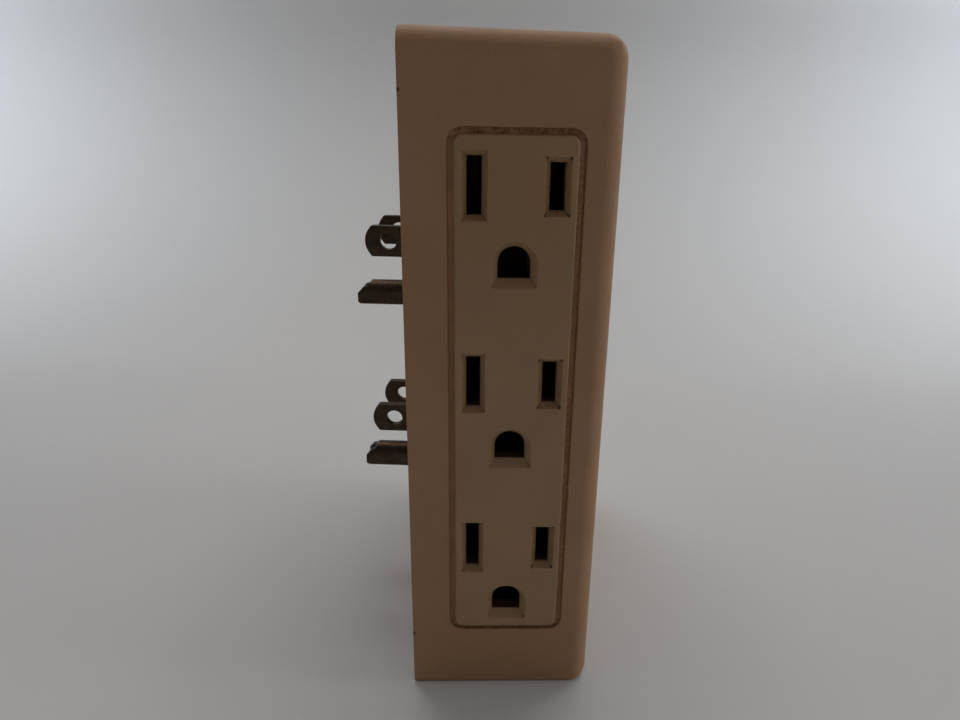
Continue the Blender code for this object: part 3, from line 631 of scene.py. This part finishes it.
def soften(made, width, segments, wanted, angle=25.0):
    """Rounds the edges that are sharper than angle and for which wanted(edge) holds."""
    bm = bmesh.new()
    bm.from_mesh(made.data)
    tidy(bm)
    limit = math.radians(angle)
    chosen = [
        e for e in bm.edges
        if len(e.link_faces) == 2 and e.calc_face_angle(0.0) > limit and wanted(e)
    ]
    bmesh.ops.bevel(
        bm, geom=chosen, offset=width, offset_type="OFFSET", segments=segments,
        profile=0.5, affect="EDGES", clamp_overlap=True, loop_slide=True,
    )
    tidy(bm)
    bm.to_mesh(made.data)
    bm.free()
    made.data.update()
    return made


def finished(made, name, materials, nodes, sharp=40.0):
    """Takes a finished shape out of the scrap, and puts it on the frame."""
    for held in list(made.users_collection):
        held.objects.unlink(made)
    bpy.context.scene.collection.objects.link(made)
    made.name = name
    made.data.name = name
    made.data.materials.clear()
    for paint in materials if isinstance(materials, (list, tuple)) else [materials]:
        made.data.materials.append(paint)
    made.data.shade_smooth()
    made.data.set_sharp_from_angle(angle=math.radians(sharp))
    weighted = made.modifiers.new("weighted", "WEIGHTED_NORMAL")
    weighted.mode = "FACE_AREA"
    weighted.weight = 100
    weighted.keep_sharp = True
    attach(made, "root")
    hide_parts(*nodes)
    return made


def drafted_box(name, inset, y0, y1, radii, segments):
    """The body's outline, inset by a wall, between two depths, with its edges rounded.

    radii is (top, front, front_bottom, bottom)."""
    bm = bmesh.new()
    bmesh.ops.create_cube(bm, size=2.0)
    for vert in bm.verts:
        y = y1 if vert.co.y > 0 else y0
        half = HALF_WIDTH + (y - OUTLET_Y) * math.tan(SIDE_DRAFT) - inset
        top = HALF_HEIGHT - (RIM_Y - y) * math.tan(TOP_DRAFT) - inset
        vert.co = (
            math.copysign(half, vert.co.x), y,
            top if vert.co.z > 0 else -HALF_HEIGHT + inset,
        )
    widest = max(radii)
    if widest == 0:
        return from_bmesh(name, bm)
    weight = bm.edges.layers.float.new("bevel_weight_edge")
    middle = (y0 + y1) / 2
    for edge in bm.edges:
        a, b = edge.verts[0].co, edge.verts[1].co
        centre = (a + b) / 2
        along = b - a
        if centre.y > middle + 1e-4 and abs(along.y) < 1e-4:
            continue  # the rear edges stay sharp here
        if abs(along.y) > 1e-3:
            radius = radii[0] if centre.z > 0 else radii[3]
        elif abs(along.z) > 1e-2:
            radius = radii[1]
        else:
            radius = radii[0] if centre.z > 0 else radii[2]
        edge[weight] = radius / widest
    made = from_bmesh(name, bm)
    bevel = made.modifiers.new("rounding", "BEVEL")
    bevel.limit_method = "WEIGHT"
    bevel.width = widest
    bevel.segments = segments
    bevel.use_clamp_overlap = False
    return bake(made)


# ---- housing ----------------------------------------------------------------------
housing = drafted_box(
    "housing_shell", 0.0, FRONT_Y, RIM_Y, (R_TOP, R_FRONT, R_FRONT_BOTTOM, R_BOTTOM), 12
)
cavity = drafted_box(
    "cavity", WALL, FRONT_Y + WALL, RIM_Y + 3 * MM, (1.6 * MM, 1.2 * MM, 0.9 * MM, 0.5 * MM), 6
)
combined(housing, [cavity], "DIFFERENCE")

corner = [(sx * BOSS_X, sz * BOSS_Z) for sx in (-1, 1) for sz in (-1, 1)]
boss_top = -COVER_T - GAP
supports = []
for i, (x, z) in enumerate(corner):
    boss = rod(f"boss_{i}", (x, z), BOSS_R, FRONT_Y + WALL / 2, boss_top)
    wall_z = math.copysign(HALF_HEIGHT - WALL / 2, z)
    web = box(
        f"boss_web_{i}",
        (x - 0.7 * MM, FRONT_Y + WALL / 2, min(z, wall_z)),
        (x + 0.7 * MM, boss_top - 4 * MM, max(z, wall_z) - (0.7 * MM if z > 0 else 0)),
    )
    supports.append(combined(boss, [web], "UNION"))
for side in ("left", "right"):
    for z in (-31 * MM, 29 * MM):
        x = sorted((SIGN[side] * 16 * MM, SIGN[side] * 29.5 * MM))
        supports.append(box(
            f"{side}_rib", (x[0], FRONT_Y + WALL / 2, z - 0.6 * MM),
            (x[1], -23.6 * MM, z + 0.6 * MM),
        ))
combined(housing, [together("supports", supports)], "UNION")

cuts = [
    rod(f"pilot_{i}", (x, z), PILOT_R, -14.5 * MM, 1 * MM, segments=24)
    for i, (x, z) in enumerate(corner)
]
for side in ("left", "right"):
    place = side_frame(side)
    cuts.append(prism(
        f"{side}_window",
        rounded(WINDOW_HALF_Y, WINDOW_HALF_Z, WINDOW_R, (0, PANEL_Z), steps=10),
        -3 * MM, WALL + 3 * MM,
        lambda u, v, w, place=place: place @ Vector((w, u, v)),
    ))
combined(housing, [together("housing_cuts", cuts)], "DIFFERENCE")

into = {side: side_frame(side).inverted() for side in SIGN}


def on_rim(edge):
    return all(abs(v.co.y - RIM_Y) < 2e-6 for v in edge.verts)


def on_window(edge):
    side = "left" if edge.verts[0].co.x < 0 else "right"
    for vert in edge.verts:
        d, y, z = into[side] @ vert.co
        if abs(d) > 1e-5 or abs(y) > WINDOW_HALF_Y + 2e-5 \
                or abs(z - PANEL_Z) > WINDOW_HALF_Z + 2e-5:
            return False
    return True


soften(housing, 0.30 * MM, 4, on_rim)
soften(housing, 0.28 * MM, 3, on_window)
reveal = []
for face in housing.data.polygons:
    side = "left" if face.center.x < 0 else "right"
    d, y, z = into[side] @ face.center
    near_wall = abs(abs(y) - WINDOW_HALF_Y) < 0.05 * MM and abs(z - PANEL_Z) < WINDOW_HALF_Z
    near_end = abs(abs(z - PANEL_Z) - WINDOW_HALF_Z) < 0.05 * MM and abs(y) < WINDOW_HALF_Y
    near_corner = abs(y) < WINDOW_HALF_Y and abs(z - PANEL_Z) < WINDOW_HALF_Z \
        and abs(y) > WINDOW_HALF_Y - WINDOW_R and abs(z - PANEL_Z) > WINDOW_HALF_Z - WINDOW_R
    reveal.append(int(0.15 * MM < d < 2.6 * MM and (near_wall or near_end or near_corner)))
housing = finished(
    housing, "housing_shell", [shell_mat, reveal_mat], ["housing"], 50.0
)
housing.data.polygons.foreach_set("material_index", reveal)

# ---- outlet panels -------------------------------------------------------------------


def lead_in(name, outline, y, z):
    """A through opening with a chamfered mouth, and a wider pocket behind its land.

    outline(share, extra) gives its edge: share of the chamfer, and extra all round."""
    face = -PANEL_PROUD
    land = face + LEAD_DEPTH + LAND
    rings = []
    for depth, share, extra in (
        (face - 1 * MM, 1 + 1 * MM / LEAD_DEPTH, 0.0),
        (face + LEAD_DEPTH, 0.0, 0.0),
        (land, 0.0, 0.0),
        (land + 0.3 * MM, 0.0, RELIEF),
        (PANEL_BACK + 2 * MM, 0.0, RELIEF),
    ):
        rings.append([(depth, y + u, z + v) for u, v in outline(share, extra)])
    return loft(name, rings)


def slot_outline(height):
    def outline(share, extra):
        more = LEAD_IN * share + extra
        half_w, half_h = SLOT_W / 2 + more, height / 2 + more
        return rectangle(-half_w, half_w, -half_h, half_h)
    return outline


def ground_outline(share, extra):
    top = GROUND_TOP + GROUND_LEAD_TOP * share + extra
    foot = GROUND_FOOT - GROUND_LEAD_FOOT * share - extra
    width = GROUND_W + 2 * (GROUND_LEAD * share + extra)
    return arch(width, top - foot, (0, (top + foot) / 2), steps=28)


def plate(name, half_y, half_z, radius, low, high, edge=0.0, steps=10):
    """A rounded slab whose edge at depth low is rolled over by edge."""
    rings = []
    if edge:
        for k in range(6):
            a = math.radians(90 * k / 5)
            rings.append((low + edge * (1 - math.sin(a)), edge * (1 - math.cos(a))))
        rings = rings[::-1]
    else:
        rings = [(low, 0.0)]
    rings.append((high, 0.0))
    return loft(name, [
        [(d, u, v) for u, v in rounded(half_y - t, half_z - t, radius - t * 0.6, (0, PANEL_Z),
                                       steps)]
        for d, t in rings
    ])


panel = plate("outlet_face", FLANGE_HALF_Y, FLANGE_HALF_Z, 2.0 * MM, WALL + GAP, PANEL_BACK)
combined(panel, [
    # The step fills the window but for a hair's breadth.
    plate("step", WINDOW_HALF_Y - 0.04 * MM, WINDOW_HALF_Z - 0.04 * MM, WINDOW_R - 0.04 * MM,
          STEP_D, WALL + GAP + 0.6 * MM),
    plate("face", WINDOW_HALF_Y - GROOVE, WINDOW_HALF_Z - GROOVE, 1.4 * MM,
          -PANEL_PROUD, 1.7 * MM, edge=0.34 * MM),
], "UNION")
openings = []
for z in OUTLETS_Z:
    openings.append(lead_in("neutral", slot_outline(NEUTRAL_H), SLOT_Y, z))
    openings.append(lead_in("hot", slot_outline(HOT_H), -SLOT_Y, z))
    openings.append(lead_in("ground", ground_outline, 0, z))
combined(panel, [together("openings", openings)], "DIFFERENCE")
soften(panel, 0.11 * MM, 3, lambda e: all(
    v.co.x < 1.1 * MM and abs(v.co.y) < WINDOW_HALF_Y - 0.5 * MM
    and abs(v.co.z - PANEL_Z) < WINDOW_HALF_Z - 0.5 * MM for v in e.verts
))
for face in panel.data.polygons:
    centre = face.center
    outside = abs(centre.y) > WINDOW_HALF_Y - GROOVE + 0.06 * MM \
        or abs(centre.z - PANEL_Z) > WINDOW_HALF_Z - GROOVE + 0.06 * MM
    groove_floor = abs(centre.x - STEP_D) < 0.03 * MM and abs(face.normal.x) > 0.9
    face.material_index = 1 if groove_floor or (outside and centre.x > STEP_D) else 0
twin = bpy.data.objects.new("right_outlet_face", panel.data.copy())
scrap.objects.link(twin)
for side, made in (("left", panel), ("right", twin)):
    kept = [face.material_index for face in made.data.polygons]
    made.matrix_world = side_frame(side)
    made = finished(made, f"{side}_outlet_face", [panel_mat, groove_mat],
                    [f"{side}_outlet_panel"], 46.0)
    made.data.polygons.foreach_set("material_index", kept)

# ---- back cover --------------------------------------------------------------------------
cover = drafted_box("back_plate", WALL + GAP, -COVER_T, 0.0, (0, 0, 0, 0), 1)
bm = bmesh.new()
bm.from_mesh(cover.data)
upright = [e for e in bm.edges if abs((e.verts[0].co - e.verts[1].co).y) > 1.5 * MM]
bmesh.ops.bevel(bm, geom=upright, offset=1.9 * MM, segments=8, profile=0.5, affect="EDGES",
                offset_type="OFFSET")
bm.to_mesh(cover.data)
bm.free()
cover_adds = []
for sx in (-1, 1):
    for z0, z1 in ((33 * MM, 43 * MM), (-45 * MM, -36 * MM)):
        x = sorted((sx * 13.5 * MM, sx * 14.6 * MM))
        cover_adds.append(box("spacer_rib", (x[0], -9 * MM, z0), (x[1], -COVER_T / 2, z1)))
for line in PLUG_Z.values():
    for sx in (-1, 1):
        cover_adds.append(rod("peg", (sx * 5.2 * MM, line - 8.4 * MM), 1.1 * MM, -5.8 * MM,
                              -COVER_T / 2, segments=20))
combined(cover, [together("cover_adds", cover_adds)], "UNION")
cover_cuts = []
for i, (x, z) in enumerate(corner):
    cover_cuts.append(combined(
        rod(f"screw_clearance_{i}", (x, z), 1.7 * MM, -4 * MM, 3 * MM),
        [rod("counterbore", (x, z), 3.2 * MM, -1.2 * MM, 3 * MM, segments=48)], "UNION",
    ))
for line in PLUG_Z.values():
    for sx in (-1, 1):
        cover_cuts.append(box(
            "blade_slot",
            (sx * BLADE_X - BLADE_T / 2 - GAP, -4 * MM, line - BLADE_H / 2 - GAP),
            (sx * BLADE_X + BLADE_T / 2 + GAP, 3 * MM, line + BLADE_H / 2 + GAP),
        ))
    cover_cuts.append(prism(
        "pin_slot", arch(PIN_W + 2 * GAP, PIN_W + 2 * GAP, (0, line - PIN_DROP)),
        -4 * MM, 3 * MM, lambda u, v, w: Vector((u, w, v)),
    ))
combined(cover, [together("cover_cuts", cover_cuts)], "DIFFERENCE")
soften(cover, 0.16 * MM, 2, lambda e: all(abs(v.co.y) < 2e-6 for v in e.verts))
finished(cover, "back_plate", cover_mat, ["back_cover"])

# ---- cover screws --------------------------------------------------------------------------
head_low, head_high = -0.9 * MM, 0.55 * MM
for i, (x, z) in enumerate(corner):
    name = "{}_{}".format("top" if z > 0 else "bottom", "left" if x < 0 else "right")
    tip = head_low - SCREW_LENGTH
    profile = [(0, tip), (0.25 * MM, tip + 0.05 * MM), (SCREW_R, tip + 1.6 * MM)]
    # A coarse thread: the shank swells and narrows along its length.
    y, k = tip + 1.8 * MM, 0
    while y < head_low - 0.5 * MM:
        profile.append((SCREW_R if k % 2 == 0 else 0.95 * MM, y))
        y += 0.42 * MM
        k += 1
    profile += [(1.05 * MM, head_low), (2.62 * MM, head_low), (SCREW_HEAD_R, head_low + 0.15 * MM),
                (SCREW_HEAD_R, head_low + 0.62 * MM)]
    for a in (15, 30, 45, 60, 75, 90):
        t = math.radians(a)
        profile.append((
            1.7 * MM + (SCREW_HEAD_R - 1.7 * MM) * math.cos(t) * 0.98,
            head_low + 0.62 * MM + (head_high - head_low - 0.70 * MM) * math.sin(t),
        ))
    profile += [(0.9 * MM, head_high - 0.02 * MM), (0, head_high)]
    screw = spun("screw", (x, z), profile)
    turn = Matrix.Translation((x, 0, z)) @ Matrix.Rotation(math.radians(17 + 53 * i), 4, "Y")
    arms = []
    for quarter in (0, 90):
        place = turn @ Matrix.Rotation(math.radians(quarter), 4, "Y")
        rings = []
        for y, long, half in ((head_high - 0.95 * MM, 0.75 * MM, 0.20 * MM),
                              (head_high + 1 * MM, 1.95 * MM, 0.42 * MM)):
            rings.append([place @ Vector((u, y, v)) for u, v in rectangle(-long, long, -half, half)])
        arms.append(loft("arm", rings))
    cross = combined(arms[0], [arms[1]], "UNION")
    combined(screw, [cross], "DIFFERENCE")
    soften(screw, 0.05 * MM, 2, lambda e: all(v.co.y > head_high - 0.12 * MM for v in e.verts), 35)
    finished(screw, f"{name}_cover_screw", zinc_mat, [f"{name}_screw"], 35.0)

# ---- blades and ground pins ----------------------------------------------------------------


def blade_outline(line):
    """Seen from the side, (y, z): a shoulder inside the cover, and a broad round tip."""
    h = BLADE_H / 2
    chord = math.sqrt(BLADE_TIP_R ** 2 - (h - 0.35 * MM) ** 2)
    centre = BLADE_LENGTH - BLADE_TIP_R
    reach = math.atan2(h - 0.35 * MM, chord)
    loop = [(-3.1 * MM, -4.5 * MM), (-2.3 * MM, -4.5 * MM), (-2.3 * MM, -h)]
    x0 = centre + chord
    for k in range(5):
        # The small corner before the round tip, itself eased.
        t = k / 4
        loop.append((x0 - 0.4 * MM * (1 - t) ** 1.6, -h + 0.35 * MM * t ** 1.6))
    steps = 28
    for k in range(1, steps):
        a = -reach + 2 * reach * k / steps
        loop.append((centre + BLADE_TIP_R * math.cos(a), BLADE_TIP_R * math.sin(a)))
    for k in range(5):
        t = 1 - k / 4
        loop.append((x0 - 0.4 * MM * (1 - t) ** 1.6, h - 0.35 * MM * t ** 1.6))
    loop += [(-2.3 * MM, h), (-2.3 * MM, 4.5 * MM), (-3.1 * MM, 4.5 * MM)]
    return [(y, line + z) for y, z in loop]


def tail(x, tail_y, sign, line, half):
    """The thin tail: back through the retainer, then across to the fed side."""
    neck = box("neck", (x - TAB / 2, tail_y - TAB / 2, line - half),
               (x + TAB / 2, -2.7 * MM, line + half))
    ends = sorted((x - sign * TAB / 2, sign * 14.2 * MM))
    across = box("across", (ends[0], tail_y - TAB / 2, line - half),
                 (ends[1], tail_y + TAB / 2, line + half))
    return [neck, across]


def rivet_hole(sign, tail_y, line):
    return rod("rivet_hole", (sign * RIVET_X, line), 1.25 * MM, tail_y - 2 * MM, tail_y + 2 * MM,
               segments=28)


def ground_section(line):
    """An inverted U folded from sheet: round above, open below."""
    outer = arch(PIN_W, PIN_W, (0, 0), steps=28)
    width = PIN_W - 2 * PIN_WALL
    inner = arch(width, PIN_W - PIN_WALL, (0, -PIN_WALL / 2), steps=28)
    loop = [outer[1]] + outer[2:] + [outer[0]] + [inner[0]] + inner[2:][::-1] + [inner[1]]
    kept = []
    for point in loop:
        if not kept or math.dist(kept[-1], point) > 1e-6:
            kept.append(point)
    if math.dist(kept[0], kept[-1]) < 1e-6:
        kept.pop()
    return [(u, line - PIN_DROP + v) for u, v in kept]


def outside_the_cover(edge):
    return all(v.co.y > -2.2 * MM for v in edge.verts)


for plug, line in PLUG_Z.items():
    side = FED_SIDE[plug]
    sign = SIGN[side]
    for conductor, x in (("neutral", -BLADE_X), ("hot", BLADE_X)):
        near = x * sign > 0
        tail_y = REAR_TAIL if near else FRONT_TAIL
        made = prism("blade", blade_outline(line), x - BLADE_T / 2, x + BLADE_T / 2,
                     lambda u, v, w: Vector((w, u, v)))
        hole = loft("hole", [
            [(x + dx, BLADE_HOLE_Y + BLADE_HOLE_R * math.cos(2 * math.pi * k / 48),
              line + BLADE_HOLE_R * math.sin(2 * math.pi * k / 48)) for k in range(48)]
            for dx in (-3 * MM, 3 * MM)
        ])
        combined(made, tail(x, tail_y, sign, line, 3.0 * MM), "UNION")
        combined(made, [together("holes", [hole, rivet_hole(sign, tail_y, line)])], "DIFFERENCE")
        soften(made, 0.17 * MM, 3, outside_the_cover)
        finished(made, f"{plug}_{conductor}_prong", blade_mat,
                 [f"{plug}_{conductor}_blade"])

    ground = line - PIN_DROP
    pin = prism("pin", ground_section(line), -2.6 * MM, PIN_LENGTH,
                lambda u, v, w: Vector((u, w, v)))
    collar = prism("collar", arch(6.6 * MM, 6.6 * MM, (0, ground)), -3.1 * MM, -2.3 * MM,
                   lambda u, v, w: Vector((u, w, v)))
    combined(pin, [collar] + tail(0.0, GROUND_TAIL, sign, ground, 2.4 * MM), "UNION")
    # The walls end in a slope, and the round top is cut back further.
    end, crown = PIN_LENGTH, ground + PIN_W / 2
    nose = prism("nose", [
        (end + 2 * MM, crown + 2 * MM), (end - 4.8 * MM, crown + 2 * MM),
        (end - 2.75 * MM, crown), (end - 1.80 * MM, crown - 1.12 * MM),
        (end - 1.05 * MM, crown - 1.26 * MM), (end, crown - 2.45 * MM),
        (end + 2 * MM, crown - 4.6 * MM),
    ], -6 * MM, 6 * MM, lambda u, v, w: Vector((w, u, v)))
    under = box("under", (-6 * MM, 0, -8 * MM), (6 * MM, 8 * MM, 0))
    under.data.transform(
        Matrix.Translation((0, PIN_LENGTH - 0.55 * MM, ground - PIN_W / 2))
        @ Matrix.Rotation(math.radians(35), 4, "X")
    )
    combined(pin, [nose, under, rivet_hole(sign, GROUND_TAIL, ground)], "DIFFERENCE")
    soften(pin, 0.12 * MM, 3, outside_the_cover)
    finished(pin, f"{plug}_earth_prong", blade_mat, [f"{plug}_ground_pin"])

# ---- carried-over CAD nodes, all inside the housing -------------------------------------------
for name, node in frame["nodes"].items():
    if node.hide_render:
        continue
    if name.endswith("_strip"):
        paint = brass_mat
    elif name.endswith("_rivet"):
        paint = zinc_mat
    else:
        # This dark paint is painted shade for the insides seen through the openings.
        paint = shaded_insulator_mat
    if node.material_slots:
        for held in node.material_slots:
            held.material = paint
    else:
        node.data.materials.append(paint)

# ---- stage ---------------------------------------------------------------------------------------


def backdrop_material(name, colour, tint):
    p = Paint(name)
    soft = p.noise(0.004, 2.0, 0.5)
    base = p.mix(p.span(soft, 0.35, 0.65), colour, tint)
    return p.set(base=base, roughness=0.62, specular=0.25)


profile = [(-6.0, FLOOR_Z), (-0.9, FLOOR_Z), (-0.3, FLOOR_Z), (0.13, FLOOR_Z)]
SWEEP_R = 0.16
for k in range(1, 25):
    a = math.radians(90 * k / 24)
    profile.append((0.13 + SWEEP_R * math.sin(a), FLOOR_Z + SWEEP_R * (1 - math.cos(a))))
profile.append((0.13 + SWEEP_R, 0.85))
bm = bmesh.new()
rows = []
for x, z in profile:
    rows.append([bm.verts.new((x, y, z)) for y in (-6.0, -0.8, 0.0, 0.8, 6.0)])
for a, b in zip(rows, rows[1:]):
    for k in range(len(a) - 1):
        bm.faces.new((a[k], b[k], b[k + 1], a[k + 1]))
mesh = bpy.data.meshes.new("studio_floor")
bm.to_mesh(mesh)
bm.free()
floor = bpy.data.objects.new("studio_floor", mesh)
bpy.context.scene.collection.objects.link(floor)
floor.data.shade_smooth()
floor.data.materials.append(
    backdrop_material("studio_paper", (0.70, 0.70, 0.70), (0.68, 0.685, 0.69))
)

world = bpy.data.worlds.new("studio_air")
bpy.context.scene.world = world
world.use_nodes = True
world.node_tree.nodes["Background"].inputs["Color"].default_value = (0.100, 0.096, 0.094, 1)
world.node_tree.nodes["Background"].inputs["Strength"].default_value = 1.0


def area_light(name, place, target, size, power, colour, spread=180):
    light = bpy.data.lights.new(name, "AREA")
    light.shape = "RECTANGLE"
    light.size, light.size_y = size
    light.energy = power
    light.spread = math.radians(spread)
    light.color = colour
    made = bpy.data.objects.new(name, light)
    bpy.context.scene.collection.objects.link(made)
    made.location = place
    made.rotation_mode = "QUATERNION"
    made.rotation_quaternion = (Vector(target) - Vector(place)).to_track_quat("-Z", "Y")
    made.visible_camera = False
    return made


area_light("top_softbox", (0.14, -0.02, 0.58), (0.02, 0.0, 0.0), (0.50, 0.13), 0.84,
           (1.0, 0.96, 0.92))
area_light("back_softbox", (0.26, -0.01, 0.31), (-0.02, -0.01, -0.03), (0.36, 0.14), 0.165,
           (1.0, 0.96, 0.92))
area_light("room_fill", (-0.35, -0.45, 0.45), (-0.03, -0.01, 0.0), (0.5, 0.5), 0.21,
           (1.0, 0.96, 0.92))
area_light("window_right", (0.102, -2.72, 1.047), (0.0, 0.0, 0.01), (1.02, 1.36), 14.2,
           (1.0, 0.98, 0.96))
area_light("window_left", (0.102, 2.72, 1.054), (0.02, 0.0, 0.0), (1.02, 1.36), 7.5,
           (0.90, 0.95, 1.0))
for name, y, power in (("backdrop_left", 0.45, 0.74), ("backdrop_right", -0.40, 0.68)):
    area_light(name, (0.11, y, 0.40), (0.29, y, 0.19), (0.30, 0.10), power,
               (0.84, 0.92, 1.0), 95)

# ---- camera: the photograph's place, from a fit to the model's corners ------------------------------
FOCAL_PX, CENTRE_U, CENTRE_V = 645.767, 499.349, 321.956
EYE = Vector((-133.649, -13.861, 47.700)) * MM
TILT, ROLL_Y, ROLL_Z = 0.317775, 0.024302, 0.025658
axes = (
    Matrix.Rotation(ROLL_Z, 3, "Z") @ Matrix.Rotation(ROLL_Y, 3, "Y")
    @ Matrix.Rotation(TILT, 3, "X") @ Matrix(((0, -1, 0), (0, 0, -1), (1, 0, 0)))
)
camera_data = bpy.data.cameras.new("camera")
camera = bpy.data.objects.new("camera", camera_data)
bpy.context.scene.collection.objects.link(camera)
right, down, forward = axes[0], axes[1], axes[2]
camera.matrix_world = Matrix((
    (right[0], -down[0], -forward[0], EYE.x),
    (right[1], -down[1], -forward[1], EYE.y),
    (right[2], -down[2], -forward[2], EYE.z),
    (0, 0, 0, 1),
))
camera_data.sensor_fit = "HORIZONTAL"
camera_data.sensor_width = 36.0
camera_data.lens = FOCAL_PX / 960 * 36.0
camera_data.shift_x = (480 - CENTRE_U) / 960
camera_data.shift_y = (CENTRE_V - 360) / 960
camera_data.clip_start, camera_data.clip_end = 0.005, 20.0
bpy.context.scene.camera = camera
bpy.context.scene.view_settings.view_transform = "Standard"

bpy.data.collections.remove(scrap)
